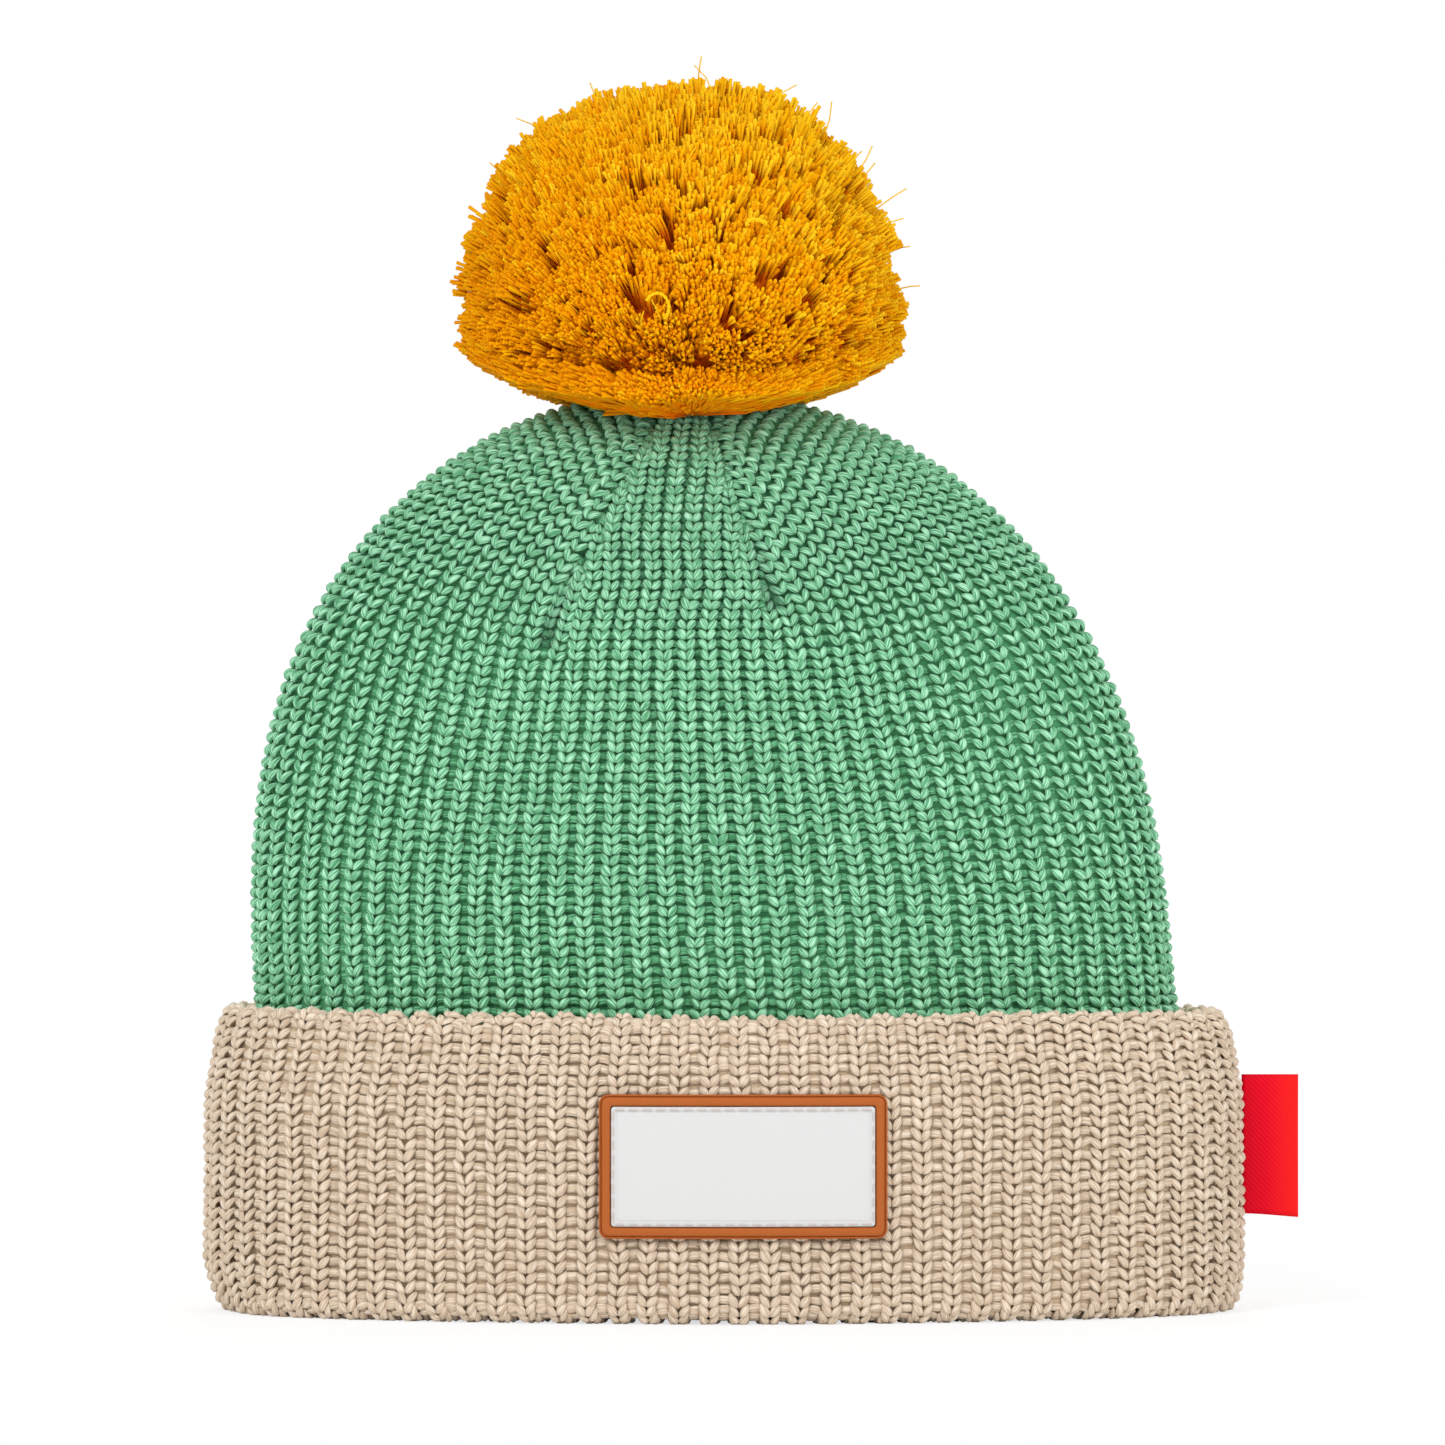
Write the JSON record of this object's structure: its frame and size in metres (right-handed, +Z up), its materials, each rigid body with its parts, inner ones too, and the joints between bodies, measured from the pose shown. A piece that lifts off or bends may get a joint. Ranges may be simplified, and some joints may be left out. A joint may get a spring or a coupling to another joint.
{
  "type": "knit bobble beanie",
  "caption": "Child's rib-knit beanie with a turned-up cuff, a yarn pompom on a tied knot, a sewn rubber patch and a folded ribbon side label.",
  "frame": {"origin": "middle of the head opening, on the plane that the cuff's fold rests on", "axes": "+Z up towards the pompom, -Y the front with the patch, +X the side with the ribbon label"},
  "size_m": [0.2337, 0.1114, 0.2633],
  "materials": {
    "green_yarn": "plied cotton-acrylic yarn in a half-fisherman rib",
    "beige_yarn": "plied cotton-acrylic yarn in a half-fisherman rib",
    "seam_yarn": "plied yarn",
    "pompom_yarn": "cut yarn pile",
    "tie_yarn": "plied yarn",
    "patch_frame_rubber": "moulded matte rubber",
    "patch_plate_rubber": "moulded satin rubber, bare",
    "sewing_thread": "twisted polyester thread",
    "label_ribbon": "woven satin ribbon, bare"
  },
  "bodies": {
    "beanie": {"crown_shell": "green_yarn", "cuff": "beige_yarn", "side_seam": "seam_yarn", "crown_gather_thread": "seam_yarn", "patch_frame": "patch_frame_rubber", "patch_plate": "patch_plate_rubber", "patch_stitching": "sewing_thread", "label_seam_thread": "sewing_thread"},
    "tie": {"pompom_tie": "tie_yarn"},
    "bobble": {"pompom": "pompom_yarn", "pompom_binding": "tie_yarn"},
    "label": {"side_label": "label_ribbon"}
  },
  "joints": [
    {"name": "pompom_nod", "type": "hinge", "parent": "beanie", "child": "tie", "pos_m": [-0.0075, 0, 0.19283], "axis": [1, 0, 0], "range_deg": [-10, 10], "stiffness_Nm_per_rad": 0.05},
    {"name": "pompom_tilt", "type": "hinge", "parent": "tie", "child": "bobble", "pos_m": [-0.0075, 0, 0.19283], "axis": [0, 1, 0], "range_deg": [-10, 10], "stiffness_Nm_per_rad": 0.05},
    {"name": "label_flap", "type": "hinge", "parent": "beanie", "child": "label", "pos_m": [0.1119, 0, 0.035], "axis": [0, 0, 1], "range_deg": [-60, 60], "stiffness_Nm_per_rad": 0.001}
  ]
}
